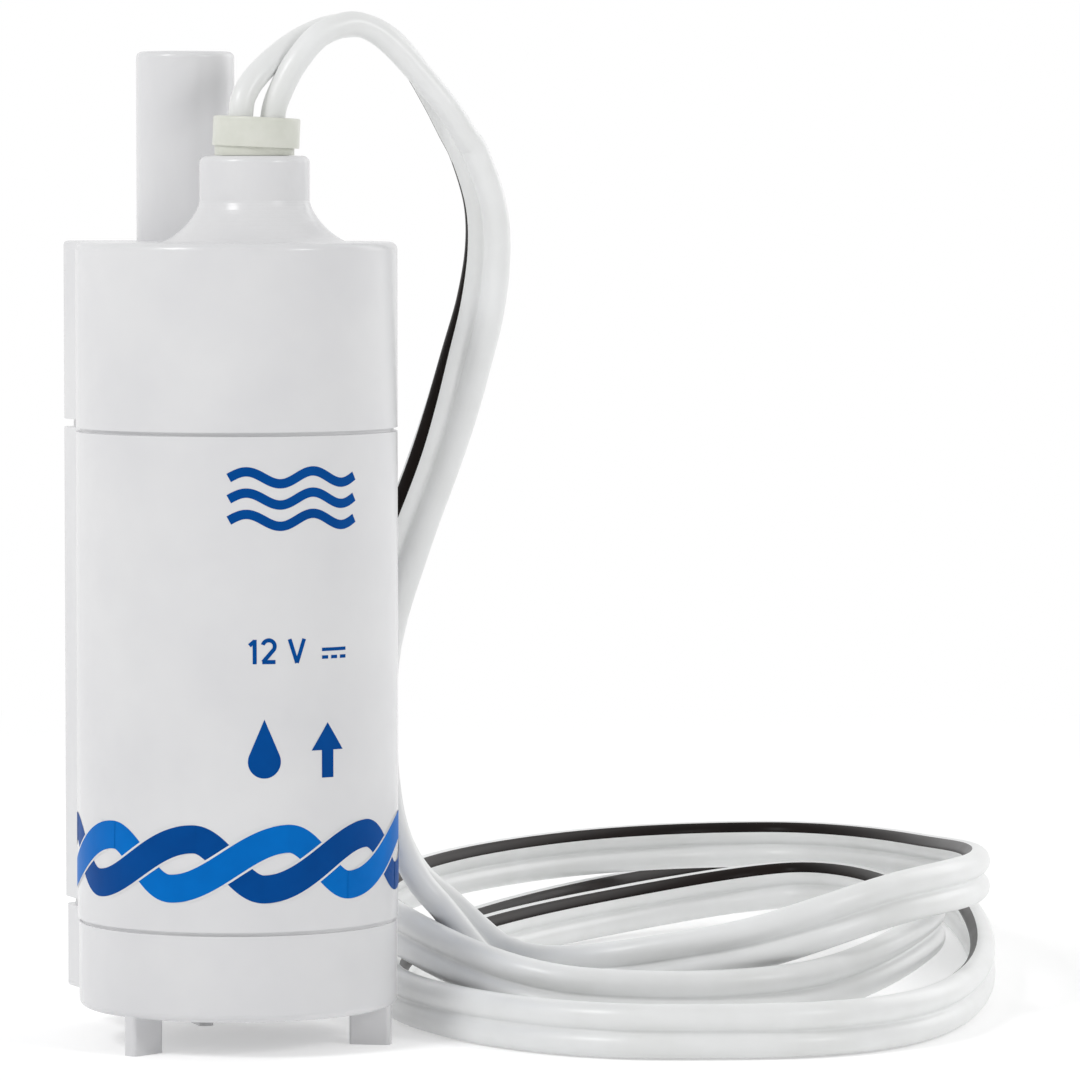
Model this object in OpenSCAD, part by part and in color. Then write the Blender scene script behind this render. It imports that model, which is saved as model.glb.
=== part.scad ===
// Submersible 12 V caravan water pump with its twin-flex supply lead, laid in a loose coil.
// Millimetres. Pump axis on Z, feet on the plane z = 0, printed face towards -Y, water duct towards +Y.

/* [Casing] */
// Outer diameter of the motor housing
body_d = 40.2; // [39.6:0.1:41]
// Height of the three feet
foot_h = 4.7; // [4:0.1:6]
// Width of a foot along the rim
foot_w = 1.95; // [1.6:0.05:2.4]
// Length of a foot towards the axis
foot_len = 5.2; // [4.4:0.1:5.6]
// Height of the base from its underside to the lower seam
base_h = 10.7; // [10.2:0.1:12]
// How far the base stands inside the housing outline
base_inset = 0.18; // [0.1:0.02:0.4]
// Height of the motor housing from seam to seam
housing_h = 61.8; // [61.3:0.1:64]
// Height of the top cap above the upper seam
cap_h = 23.1; // [22.6:0.1:25]
// Height of the groove round the body at each seam
groove_h = 0.5; // [0.3:0.05:0.8]
// Depth of the groove round the body
groove_depth = 0.5; // [0.3:0.05:0.7]
// Height of the notch across the duct at each seam
notch_h = 1; // [0.6:0.1:1.4]
// Depth of the notch across the duct
notch_depth = 0.95; // [0.5:0.05:1.1]
// Rounding of the cap's top edge and the base's bottom edge
edge_r = 1; // [0.6:0.1:1.2]

/* [Water duct] */
// Width of the duct on the back of the casing
duct_w = 28; // [27:0.2:29]
// Distance from the axis to the back of the duct
duct_back = 26; // [25.8:0.1:27]
// Radius of the duct's upright corners
duct_corner_r = 1.5; // [1:0.1:2]
// Thickness of the duct's side and back walls
duct_wall = 2.2; // [1.8:0.1:2.4]

/* [Outlet and gland] */
// Outer diameter of the outlet spigot, for a hose of half an inch
spigot_d = 12.5; // [12:0.1:13]
// Bore of the outlet spigot
spigot_bore_d = 8.4; // [7.6:0.1:8.8]
// Height of the outlet spigot above the cap
spigot_h = 24; // [20:0.5:30]
// Distance from the axis to the outlet spigot
spigot_y = 17.8; // [17.6:0.1:18.2]
// Diameter of the cable boss
boss_d = 13.7; // [13.2:0.1:14.2]
// Height of the cable boss above the cap
boss_h = 10.7; // [10:0.1:12]
// Rounding of the boss's top edge
boss_edge_r = 0.9; // [0.5:0.1:1.2]
// Width of the flare at the foot of the boss
flare_w = 5.4; // [4.6:0.1:5.6]
// Height of the flare at the foot of the boss
flare_h = 5.3; // [4.6:0.1:5.8]
// Distance from the axis to the boss, towards the printed face
boss_y = 6.2; // [5.8:0.1:6.6]
// Diameter of the plug's flange
plug_d = 10.8; // [10.2:0.1:11.4]
// Thickness of the plug's flange
plug_flange_h = 3.7; // [3:0.1:4.2]
// Gap between the boss and the plug's flange
plug_gap = 1.1; // [0.8:0.1:1.5]
// Lean of the plug in its bore
plug_tilt = 2.5; // [0:0.5:2.5]

/* [Pump and motor] */
// Diameter of the impeller
impeller_d = 26.8; // [25:0.2:27.4]
// Number of impeller vanes
vane_n = 6; // [4:1:7]
// Number of inlet slots in the base
slot_n = 8; // [6:1:9]
// Width of an inlet slot
slot_w = 2; // [1.6:0.1:2.4]
// Diameter of the motor can
can_d = 27.7; // [27:0.1:28.2]
// Length of the motor can
can_h = 38; // [37:0.5:39]
// Diameter of the motor shaft
shaft_d = 3.2; // [3:0.1:3.4]
// Thickness of a field magnet
magnet_t = 2.2; // [2:0.1:2.4]
// Length of the armature stack
armature_h = 15; // [13:0.5:16]

/* [Supply lead] */
// Diameter of one insulated core
core_d = 3.4; // [3.2:0.1:3.4]
// Diameter of a core where the pair is parted
lead_d = 3.1; // [2.8:0.1:3.2]
// Diameter of the bare strands at the far end
strand_d = 1.5; // [1.2:0.1:1.6]
// Length of the bare strands
strand_len = 7; // [5:0.5:10]

/* [Hidden] */
e = 0.05;
fit = 0.03;
run_fit = 0.03;
slide = 0.2;
// Levels up the casing
z_base = foot_h;
z_seam1 = z_base + base_h;
z_seam2 = z_seam1 + housing_h;
z_top = z_seam2 + cap_h;
// Casing
body_r = body_d / 2;
chamber_r = 15.6;
bore_r = 17.5;
lip_r = bore_r - slide;
lip_t = 1.6;
lip_h = 2.4;
cap_lip_h = 4;
floor_t = 2;
bulk_z0 = z_seam1 + lip_h + slide;
bulk_t = 6;
bulk_z1 = bulk_z0 + bulk_t;
roof_t = 2.2;
roof_z = z_top - roof_t;
duct_x = duct_w / 2 - duct_wall - 1.2;
duct_y0 = 19.5;
duct_y1 = duct_back - duct_wall;
cap_notch_h = 0.4 * notch_h;
duct_h = housing_h - 2 * notch_h + cap_notch_h;
step_z = z_seam2 + 5.2;
wet_z0 = step_z + 2.4;
socket_z = z_top - 7.4;
wet_z1 = socket_z - 1;
wet_y0 = 14.2;
wall_y = wet_y0 - 3.1;
ring_d = 1.4;
ring_z = z_seam2 - 2;
ring_mid_r = bore_r - e - ring_d / 2;
// Outlet, boss and plug
spigot_r = spigot_d / 2;
tail_r = spigot_r - 0.5;
bond = 0.15;
rim_r = 0.8;
boss_r = boss_d / 2;
boss_z = z_top + boss_h;
shank_r = 4.15;
gland_r = shank_r + 0.3;
neck_r = gland_r + 0.5;
gland_z = z_top - 1.2;
pivot_z = boss_z - 2.8;
shank_z = -2.9;
flange_z = 2.8 + plug_gap;
plug_z = flange_z + plug_flange_h;
core_x = 2.15;
core_r = core_d / 2;
lead_r = lead_d / 2;
core_hole_r = lead_r + 0.15;
grommet_z1 = pivot_z + shank_z - 0.4;
lead_z = flange_z + 0.6;
photo_a = -24;
tilt_axis = [-sin(photo_a), cos(photo_a), 0];
// Motor
shaft_r = shaft_d / 2;
can_r = can_d / 2;
can_t = 1;
can_z0 = bulk_z1;
can_z1 = can_z0 + can_h;
nose_r = 5;
nose_h = 2;
bush_r = 3.4;
bell_t = 3;
bell_z1 = can_z1 + bell_t;
bell_z0 = can_z1 - 2;
pad_h = 2;
pad_z1 = bell_z1 + pad_h;
post_r = 2;
post_ring = 11.5;
tag_x = 8;
tag_h = 6;
magnet_r = can_r - can_t - fit;
air_gap = 0.6;
magnet_in = magnet_r - magnet_t;
armature_r = magnet_in - air_gap;
pole_w = 3.4;
shoe_t = 1.6;
stack_hub_r = 4;
stack_z = can_z0 + 8.6;
winding_w = 7.8;
winding_x = sqrt(pow(armature_r - shoe_t - slide, 2) - pow(winding_w / 2, 2));
winding_end = 2.2;
washer_r = 3;
washer_t = 0.6;
end_play = 0.1;
bush_sink = 0.4;
bush_in = 2;
comm_r = 3.2;
comm_z = bell_z0 - 6.6;
comm_h = 4.5;
brush_h = 2.5;
// Impeller
wheel_z0 = z_base + floor_t + 1.4;
wheel_h = 6.2;
wheel_t = 1.4;
hub_r = 4;
vane_t = 1.2;
shaft_z0 = wheel_z0 + 0.6;
shaft_z1 = bell_z1 - 0.6;
seal_r = 5.5;
seal_h = 2.8;
// Split cores, from the plug to where they join, in the axes of the picture
plain_pts = [[5.9, -4.6, 119.4], [7.7, -4.2, 122.7], [10.2, -3, 125.7], [12.9, -1.7, 127.1],
    [15.1, -0.6, 127.4], [17.6, 0.4, 126.4], [20.1, 1.2, 124.3], [23.5, 2.2, 120.5],
    [26.4, 3, 116.9], [29, 4, 113.3]];
striped_pts = [[1.4, -6, 118.7], [3.2, -4.4, 121.4], [6.6, -1, 124.5], [10, 2.2, 126.5], [13, 4.6, 127.3],
    [16, 7, 127.3], [19, 8.8, 125.7], [21.9, 9.6, 122.5], [24.3, 9.6, 118.5], [26.6, 8.8, 114.2]];
// Joined flex falling to the coil, and the side on which the striped core lies
drop_pts = [[29.4, 6.3, 111.2], [30.8, 7, 105.2], [31.3, 8, 99.2], [30.4, 9.4, 92.4], [28.6, 11, 85.6],
    [26.6, 12.5, 78.7], [24.3, 14, 71.9], [20.9, 16, 62.6], [18.5, 17.5, 54.3], [17.4, 18, 46.7],
    [17.6, 18, 39], [18.4, 18, 31.5], [20.2, 18.3, 24.9], [23.5, 18.6, 18.8]];
drop_side = [[-0.5, 0.87, 0], [-0.6, 0.8, 0], [-0.65, 0.76, 0], [-0.75, 0.65, 0], [-0.85, 0.5, 0],
    [-0.9, 0.4, 0], [-0.96, 0.3, 0], [-1, 0, 0], [-0.9, -0.45, 0], [-0.6, -0.8, 0],
    [-0.2, -1, 0], [0.15, -1, 0.05], [0.4, -0.9, 0.2], [0.5, -0.75, 0.5]];
// Coil: left and right reach of each half turn, front and back reach, each with how long the flex lingers there
coil_x = [[26, 1], [96.5, 1.18], [16.5, 1], [90.5, 1.15], [19, 0.75], [98.5, 1.1], [17.5, 1]];
coil_y = [[46, 1], [3, 1.2], [135.5, 1], [-4, 1.4], [125, 1], [-18, 1.5], [166, 1], [2, 1]];
// Heights of the coil at each eighth of a turn, until it lies on the floor
coil_z = [17, 8, 10.6, 16.7, 15.8, 11.2, 10.8, 10.8, 10.9, 10.8, 6.4, 6.2, 9.6, 7.2, 6, 4, 3.6, 3.5];
coil_pace = 1.92;
coil_front = 0.47;
coil_t0 = 0.06;
coil_t1 = 3.04;
coil_steps = 104;
// Parted cores at the far end, resting on the floor
plain_tail = [[22.6, 67.5, 1.75], [20, 64.3, 1.6], [16, 62, 1.6], [11, 61, 1.6], [5, 61, 1.6]];
striped_tail = [[22.2, 68.4, 5], [19.4, 67.8, 4.1], [15, 67.4, 2], [10, 67.6, 1.6], [4, 68.6, 1.6]];

function unit(v) = v / norm(v);
// Turns a point or direction from the picture's axes into the pump's
function turned(p) = [
    p[0] * cos(photo_a) - p[1] * sin(photo_a),
    p[0] * sin(photo_a) + p[1] * cos(photo_a),
    p[2]];
// A point of the leaning plug, given from its pivot
function leaned(p) = [0, -boss_y, pivot_z] + p * cos(plug_tilt)
    + cross(tilt_axis, p) * sin(plug_tilt)
    + tilt_axis * (tilt_axis * p) * (1 - cos(plug_tilt));
function swing(l, u) = let (
        i = min(floor(u), len(l) - 2),
        f = pow(u - i, l[i][1]))
    l[i][0] + (l[i + 1][0] - l[i][0]) * (1 - cos(180 * f)) / 2;
function eased(l, v) = let (
        u = min(v, len(l) - 1.001),
        i = floor(u),
        f = u - i,
        a = l[max(i - 1, 0)],
        b = l[i],
        c = l[i + 1],
        d = l[min(i + 2, len(l) - 1)])
    b + f / 2 * (c - a + f * (2 * a - 5 * b + 4 * c - d + f * (3 * (b - c) + d - a)));
function coil_at(t) = [
    swing(coil_x, coil_pace * t),
    swing(coil_y, 2 * t + coil_front),
    eased(coil_z, 8 * t)];
function coil_side(t) = let (k = max(0, 1 - (t - coil_t0) / 0.09))
    [0.5 * k, -0.5 * k, 1];
coil_ts = [for (i = [0 : coil_steps]) coil_t0 + (coil_t1 - coil_t0) * i / coil_steps];
coil_pts = [for (t = coil_ts) coil_at(t)];
// The whole flex, from the joint of the cores to the coil's end
flex_pts = [for (p = concat(drop_pts, coil_pts)) turned(p)];
flex_side = [for (p = concat(drop_side, [for (t = coil_ts) coil_side(t)])) turned(p)];
drop_last = len(drop_pts);
flex_last = len(flex_pts) - 1;
function tangent(l, i) = unit(l[min(i + 1, len(l) - 1)] - l[max(i - 1, 0)]);
flex_dir = [for (i = [0 : flex_last]) tangent(flex_pts, i)];
flex_u = [for (i = [0 : flex_last]) unit(flex_side[i] - flex_dir[i] * (flex_side[i] * flex_dir[i]))];
// Centres of the two cores at one ring of the flex
function core_at(i, s) = flex_pts[i] + flex_u[i] * (s * (core_r + 0.02));
lead_ends = [leaned([core_x, 0, lead_z]), leaned([core_x, 0, plug_z + 0.6]),
    leaned([-core_x, 0, lead_z]), leaned([-core_x, 0, plug_z + 0.6])];
plain_route = concat([lead_ends[0], lead_ends[1]], [for (p = plain_pts) turned(p)], [core_at(0, -1)]);
striped_route = concat([lead_ends[2], lead_ends[3]], [for (p = striped_pts) turned(p)], [core_at(0, 1)]);
plain_end = concat([core_at(flex_last, -1)], [for (p = plain_tail) turned(p)]);
striped_end = concat([core_at(flex_last, 1)], [for (p = striped_tail) turned(p)]);
// Inner cores from the plug down to the motor's tags
function inner_route(s) = [
    leaned([s * core_x, 0, lead_z]),
    leaned([s * core_x, 0, shank_z]),
    [s * core_x, -boss_y, grommet_z1 - 1],
    [s * core_x, -boss_y, roof_z - 0.5],
    [s * 3.4, -5.2, roof_z - 6],
    [s * 5.5, -2.6, roof_z - 13],
    [s * 7.4, -0.5, bell_z1 + tag_h + 6],
    [s * tag_x, 0, bell_z1 + tag_h]];
// Outline of the joined pair, as two rounds with a waist between them
lobe = [-108, -54, 0, 54, 108];
pair = concat(
    [[0, -0.4 * core_r]],
    [for (a = lobe) [core_r * (1 + cos(a)), core_r * sin(a)]],
    [[0, 0.4 * core_r]],
    [for (a = lobe) [-core_r * (1 + cos(a)), -core_r * sin(a)]]);
ring8 = [for (i = [0 : 7]) lead_r * [cos(45 * i), sin(45 * i)]];
// Least gap between turns of the coil, from the cores' centres a quarter of a turn or more apart
gap_pts = [for (i = [0 : coil_steps - 1]) for (f = [0, 1 / 3, 2 / 3])
    coil_pts[i] * (1 - f) + coil_pts[i + 1] * f];
gap_last = len(gap_pts) - 1;
gap_skip = ceil(coil_steps * 3 / (4 * (coil_t1 - coil_t0)));
coil_gap = min([for (i = [0 : gap_last]) for (j = [i + gap_skip : 1 : gap_last]) for (s = [-1, 0, 1])
    norm(gap_pts[i] - gap_pts[j] + [0, 0, s * core_d]) - core_d]);
echo(least_gap_between_turns = coil_gap);
function flex_length(a, b) = a >= b ? 0 : norm(flex_pts[a + 1] - flex_pts[a]) + flex_length(a + 1, b);
echo(flex_length = flex_length(0, flex_last));

// Sweeps an outline along rings given by centres, tangents and side directions
module sweep(outline, pts, us, dirs, caps) {
    n = len(outline);
    m = len(pts);
    points = [for (i = [0 : m - 1]) for (q = outline)
        pts[i] + us[i] * q[0] + cross(dirs[i], us[i]) * q[1]];
    sides = [for (i = [0 : m - 2]) for (k = [0 : n - 1]) for (h = [0, 1])
        let (a = i * n + k, b = i * n + (k + 1) % n)
        h == 0 ? [a, b, b + n] : [a, b + n, a + n]];
    start = [for (c = caps) c];
    stop = [for (c = caps) [for (k = [len(c) - 1 : -1 : 0]) c[k] + (m - 1) * n]];
    polyhedron(points = points, faces = [for (f = concat(sides, start, stop)) [f[2], f[1], f[0],
        for (k = [len(f) - 1 : -1 : 3]) f[k]]], convexity = 10);
}

module flex(a, b) {
    sweep(pair,
        [for (i = [a : b]) flex_pts[i]],
        [for (i = [a : b]) flex_u[i]],
        [for (i = [a : b]) flex_dir[i]],
        [[6, 5, 4, 3, 2, 1, 0], [0, 11, 10, 9, 8, 7, 6]]);
}

// A single core along its route, with set directions at both ends
module core(route, first, last) {
    m = len(route);
    dirs = [for (i = [0 : m - 1]) i == 0 ? unit(first) : i == m - 1 ? unit(last) : tangent(route, i)];
    ref = [0.42, -0.9, 0.1];
    us = [for (d = dirs) unit(ref - d * (ref * d))];
    sweep(ring8, route, us, dirs, [[7, 6, 5, 4, 3, 2, 1, 0]]);
}

module disc(r, z0, z1) {
    translate([0, 0, z0]) cylinder(r = r, h = z1 - z0, $fn = 96);
}

module pipe(r, inner, z0, z1) {
    difference() {
        disc(r, z0, z1);
        disc(inner, z0 - 1, z1 + 1);
    }
}

module block(x0, x1, y0, y1, z0, z1) {
    translate([x0, y0, z0]) cube([x1 - x0, y1 - y0, z1 - z0]);
}

// Square of w by h from the origin with its far upper corner rounded
module round_corner(w, h, r) {
    square([w, h - r]);
    square([w - r, h]);
    translate([w - r, h - r]) circle(r = r, $fn = 32);
}

module duct_plan(inset) {
    hw = duct_w / 2 - inset;
    back = duct_back - inset;
    round_corner(hw, back, duct_corner_r);
    mirror([1, 0]) round_corner(hw, back, duct_corner_r);
}

// Round body with the duct on its back, its edge at the far end rounded
module rounded_shell(inset, h) {
    hw = duct_w / 2 - inset;
    back = duct_back - inset;
    rotate_extrude($fn = 96) round_corner(body_r - inset, h, edge_r);
    intersection() {
        linear_extrude(h) duct_plan(inset);
        rotate([90, 0, 90]) translate([0, 0, -hw - 1]) linear_extrude(2 * hw + 2) {
            round_corner(back, h, edge_r);
        }
        rotate([90, 0, 0]) translate([0, 0, -back - 1]) linear_extrude(back + 2) {
            round_corner(hw, h, edge_r);
            mirror([1, 0]) round_corner(hw, h, edge_r);
        }
    }
}

// Plan of a foot with its upright edges rounded
module foot_plan() {
    r = 0.5;
    x0 = body_r - 0.5 - foot_len;
    translate([x0, r - foot_w / 2]) square([foot_len, foot_w - 2 * r]);
    translate([x0 + r, -foot_w / 2]) square([foot_len - 2 * r, foot_w]);
    for (x = [x0 + r, x0 + foot_len - r]) for (y = [r - foot_w / 2, foot_w / 2 - r]) {
        translate([x, y]) circle(r = r, $fn = 32);
    }
}

module feet() {
    for (a = [-155, -35, 85]) rotate(a) linear_extrude(z_base + floor_t / 2) foot_plan();
}

module inlet_slots() {
    for (i = [0 : slot_n - 1]) rotate(i * 360 / slot_n + 15) {
        block(4.5, 10.5, -slot_w / 2, slot_w / 2, z_base - 1, z_base + floor_t + 1);
    }
}

module base_cover() color([0.9, 0.9, 0.91]) {
    difference() {
        union() {
            translate([0, 0, z_seam1]) mirror([0, 0, 1]) rounded_shell(base_inset, base_h);
            disc(lip_r, z_seam1 - 1, z_seam1 + lip_h);
            feet();
        }
        disc(chamber_r, z_base + floor_t, z_seam1 + lip_h + 1);
        block(-duct_x, duct_x, 8, duct_y1 - base_inset, z_base + floor_t, z_seam1 - 1.5);
        block(-duct_x, duct_x, duct_y0, duct_y1 - base_inset, z_base + floor_t, z_seam1 + 1);
        inlet_slots();
    }
}

module motor_housing() color([0.92, 0.92, 0.93]) {
    difference() {
        union() {
            disc(body_r - groove_depth, z_seam1, z_seam2);
            disc(body_r, z_seam1 + groove_h, z_seam2 - groove_h);
            translate([0, 0, z_seam1]) linear_extrude(housing_h) duct_plan(notch_depth);
            translate([0, 0, z_seam1 + notch_h]) linear_extrude(duct_h) duct_plan(0);
        }
        disc(bore_r, z_seam1 - 1, bulk_z0);
        disc(bore_r, bulk_z1, z_seam2 + 1);
        disc(seal_r, bulk_z0 - 1, bulk_z0 + seal_h);
        disc(shaft_r + 0.4, bulk_z0, bulk_z1);
        disc(nose_r + slide, bulk_z1 - nose_h - 0.2, bulk_z1 + 1);
        block(-duct_x, duct_x, duct_y0, duct_y1, z_seam1 - 1, z_seam2 + 1);
    }
    for (a = [45 : 90 : 315]) rotate(a) {
        block(can_r + 0.1, bore_r + 0.4, -1, 1, bulk_z1 - 0.5, can_z1 - 4);
    }
}

// Flare at the foot of the cable boss, sunk a little so that it meets the roof at a shallow angle
function flare_at(a) = [boss_r + flare_w * (1 - pow(cos(a), 4 / 3)), flare_h * (1 - pow(sin(a), 4 / 3))];
module boss() {
    sink = 0.15;
    z0 = roof_z + 0.5;
    flare = [for (a = [90 : -6 : 0]) flare_at(a)];
    translate([0, -boss_y, 0]) {
        translate([0, 0, z0]) rotate_extrude($fn = 96) round_corner(boss_r, boss_z - z0, boss_edge_r);
        translate([0, 0, z_top - sink]) rotate_extrude($fn = 96) {
            polygon(concat([[0, 0]], flare, [[0, flare_h]]));
        }
    }
}

module dry_space() {
    disc(bore_r - 1.9, z_seam2 - cap_lip_h - 1, step_z);
    intersection() {
        disc(bore_r - 1.9, step_z - 1, roof_z);
        block(-20, 20, -20, wall_y, step_z - 1, roof_z);
    }
}

module wet_space() {
    block(-duct_x, duct_x, duct_y0, duct_y1, z_seam2 - 1, wet_z1);
    block(-8, 8, wet_y0, duct_y1 - 0.5, wet_z0, wet_z1);
    translate([0, spigot_y, 0]) disc(spigot_bore_d / 2, wet_z1 - 1, socket_z + 1);
    translate([0, spigot_y, 0]) disc(tail_r + bond, socket_z, z_top + 1);
}

module posts() {
    for (a = [90, 210, 330]) rotate(a) translate([post_ring, 0, 0]) {
        disc(post_r, pad_z1, roof_z + 0.5);
    }
}

module top_cap() color([0.92, 0.92, 0.93]) {
    difference() {
        union() {
            translate([0, 0, z_seam2]) rounded_shell(0, cap_h);
            disc(lip_r, z_seam2 - cap_lip_h, z_seam2 + 1);
            boss();
        }
        translate([0, 0, z_seam2 - 1]) linear_extrude(1 + cap_notch_h) difference() {
            duct_plan(-1);
            duct_plan(notch_depth);
            circle(r = body_r, $fn = 96);
        }
        dry_space();
        wet_space();
        pipe(bore_r + 1, ring_mid_r - ring_d / 2 - e, ring_z - ring_d / 2 - e, ring_z + ring_d / 2 + e);
        translate([0, -boss_y, 0]) disc(gland_r, gland_z, boss_z + 1);
        translate([0, -boss_y, 0]) disc(gland_r - 0.6, roof_z - 1, gland_z + 1);
    }
    difference() {
        posts();
        wet_space();
    }
}

// The tube's lower end is a little thinner and is bonded into the cap
module outlet_spigot() color([0.92, 0.92, 0.93]) {
    translate([0, spigot_y, 0]) difference() {
        union() {
            translate([0, 0, z_top]) rotate_extrude($fn = 96) round_corner(spigot_r, spigot_h, rim_r);
            disc(tail_r, socket_z, z_top + 1);
        }
        disc(spigot_bore_d / 2, socket_z - 1, z_top + spigot_h + 1);
    }
}

module plug_lean() {
    translate([0, -boss_y, pivot_z]) rotate(a = plug_tilt, v = tilt_axis) children();
}

// The neck stands square on the boss under the leaning flange
module gland_plug() color([0.88, 0.88, 0.82]) {
    difference() {
        union() {
            translate([0, -boss_y, 0]) disc(neck_r, boss_z + e, pivot_z + flange_z + 0.6);
            plug_lean() {
                translate([0, 0, flange_z]) rotate_extrude($fn = 64) {
                    round_corner(plug_d / 2, plug_flange_h, 0.3);
                }
                disc(shank_r, shank_z, flange_z + 1);
            }
        }
        plug_lean() {
            for (s = [-1, 1]) translate([s * core_x, 0, 0]) disc(core_hole_r, shank_z - 1, plug_z + 1);
        }
    }
}

module gland_grommet() color([0.2, 0.2, 0.2]) {
    translate([0, -boss_y, 0]) difference() {
        disc(gland_r - fit, gland_z, grommet_z1);
        for (s = [-1, 1]) translate([s * core_x, 0, 0]) disc(core_hole_r, gland_z - 1, grommet_z1 + 1);
    }
}

module cap_oring() color([0.12, 0.12, 0.12]) {
    rotate_extrude($fn = 96) translate([ring_mid_r, ring_z]) circle(d = ring_d, $fn = 32);
}

module shaft_seal() color([0.15, 0.12, 0.1]) {
    lip = shaft_r + 0.06;
    z = bulk_z0;
    rotate_extrude($fn = 96) polygon([[lip, z + 0.2], [lip + 0.8, z + 0.2], [lip + 2, z + 1.6],
        [4.4, z + 1.6], [4.4, z + 0.1], [seal_r - fit, z + 0.1], [seal_r - fit, z + seal_h],
        [lip + 1.5, z + seal_h], [lip, z + 1]]);
}

module motor_can() color([0.72, 0.73, 0.75]) {
    difference() {
        union() {
            disc(can_r, can_z0, can_z1);
            disc(nose_r, can_z0 - nose_h, can_z0 + 1);
        }
        disc(can_r - can_t, can_z0 + 1.2, can_z1 + 1);
        disc(bush_r + fit, can_z0 - nose_h - 1, can_z0 + bush_in);
    }
}

module motor_end_bell() color([0.93, 0.93, 0.88]) {
    difference() {
        union() {
            disc(can_r, can_z1, bell_z1);
            disc(can_r - can_t - fit, bell_z0, can_z1 + 1);
        }
        disc(bush_r + fit, bell_z0 - 1, bell_z1 + 1);
    }
}

module motor_pad() color([0.15, 0.15, 0.15]) {
    pipe(can_r - 0.3, post_ring - 2, bell_z1, pad_z1);
}

module field_magnets() color([0.25, 0.25, 0.27]) {
    for (s = [0, 180]) rotate(s) intersection() {
        pipe(magnet_r, magnet_in, stack_z - 4, stack_z + armature_h + 4);
        linear_extrude(z_top) polygon(can_d * [[0, 0], [0.7, -1.2], [1.4, 0], [0.7, 1.2]]);
    }
}

module lower_bush() color([0.72, 0.55, 0.3]) {
    pipe(bush_r, shaft_r + run_fit, can_z0 - nose_h, can_z0 + bush_in);
}

module upper_bush() color([0.72, 0.55, 0.3]) {
    pipe(bush_r, shaft_r + run_fit, bell_z0 + bush_sink, bell_z1 - bush_sink);
}

module carbon_brushes() color([0.18, 0.18, 0.18]) {
    for (s = [0, 180]) rotate(s) {
        block(comm_r + 0.06, comm_r + 3, -1.2, 1.2, comm_z + 1, comm_z + 1 + brush_h);
    }
}

module brush_arms() color([0.8, 0.62, 0.25]) {
    for (s = [0, 180]) rotate(s) {
        block(comm_r + 3, comm_r + 3.5, -1.2, 1.2, comm_z + 0.5, bell_z0);
    }
}

module motor_tags() color([0.8, 0.7, 0.4]) {
    for (s = [0, 180]) rotate(s) {
        block(tag_x - 0.4, tag_x + 0.4, -1.5, 1.5, bell_z1, bell_z1 + tag_h);
    }
}

module motor_shaft() color([0.78, 0.79, 0.8]) {
    disc(shaft_r, shaft_z0, shaft_z1);
}

module armature_core() color([0.5, 0.5, 0.52]) {
    translate([0, 0, stack_z]) linear_extrude(armature_h) difference() {
        union() {
            circle(r = stack_hub_r, $fn = 48);
            for (a = [30, 150, 270]) rotate(a) {
                translate([0, -pole_w / 2]) square([armature_r - shoe_t / 2, pole_w]);
                intersection() {
                    difference() {
                        circle(r = armature_r, $fn = 96);
                        circle(r = armature_r - shoe_t, $fn = 96);
                    }
                    polygon(armature_r * [[0, 0], [2, -2.5], [2, 2.5]]);
                }
            }
        }
        circle(r = shaft_r + fit, $fn = 48);
    }
}

module armature_windings() color([0.72, 0.4, 0.2]) {
    z = stack_z;
    for (a = [30, 150, 270]) rotate(a) difference() {
        block(stack_hub_r + 0.8, winding_x, -winding_w / 2, winding_w / 2, z - winding_end,
            z + armature_h + winding_end);
        block(stack_hub_r, armature_r, -pole_w / 2 - e, pole_w / 2 + e, z - e, z + armature_h + e);
    }
}

module commutator() color([0.75, 0.45, 0.22]) {
    difference() {
        disc(comm_r, comm_z, comm_z + comm_h);
        disc(shaft_r + fit, comm_z - 1, comm_z + comm_h + 1);
        for (a = [0, 120, 240]) rotate(a) {
            block(comm_r - 0.5, comm_r + 1, -0.2, 0.2, comm_z - 1, comm_z + comm_h + 1);
        }
    }
}

module thrust_washers() color([0.9, 0.88, 0.8]) {
    low_z = can_z0 + bush_in + end_play;
    high_z = bell_z0 + bush_sink - end_play;
    pipe(washer_r, shaft_r + fit, low_z, low_z + washer_t);
    pipe(washer_r, shaft_r + fit, high_z - washer_t, high_z);
}

// One swept-back vane, bent along a circle that passes through the axis
module vane() {
    bend_r = impeller_d / 2 - 4;
    a0 = 2 * asin((hub_r - 0.8) / 2 / bend_r);
    a1 = 2 * asin((impeller_d / 2 - 0.5) / 2 / bend_r);
    angles = [for (i = [0 : 8]) a0 + (a1 - a0) * i / 8];
    translate([0, bend_r]) polygon(concat(
        [for (a = angles) (bend_r + vane_t / 2) * [sin(a), -cos(a)]],
        [for (i = [8 : -1 : 0]) (bend_r - vane_t / 2) * [sin(angles[i]), -cos(angles[i])]]));
}

module impeller() color([0.3, 0.45, 0.65]) {
    difference() {
        union() {
            disc(hub_r, wheel_z0, wheel_z0 + wheel_h);
            disc(impeller_d / 2, wheel_z0 + wheel_h - wheel_t, wheel_z0 + wheel_h);
            for (i = [0 : vane_n - 1]) rotate(i * 360 / vane_n) {
                translate([0, 0, wheel_z0]) linear_extrude(wheel_h - 0.5) vane();
            }
        }
        disc(shaft_r + fit, shaft_z0, wheel_z0 + wheel_h + 1);
    }
}

module inner_lead_plain() color([0.95, 0.95, 0.95]) {
    core(inner_route(1), leaned([0, 0, 0]) - leaned([0, 0, 1]), [0, 0, -1]);
}

module inner_lead_striped() color([0.95, 0.95, 0.95]) {
    core(inner_route(-1), leaned([0, 0, 0]) - leaned([0, 0, 1]), [0, 0, -1]);
}

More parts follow.
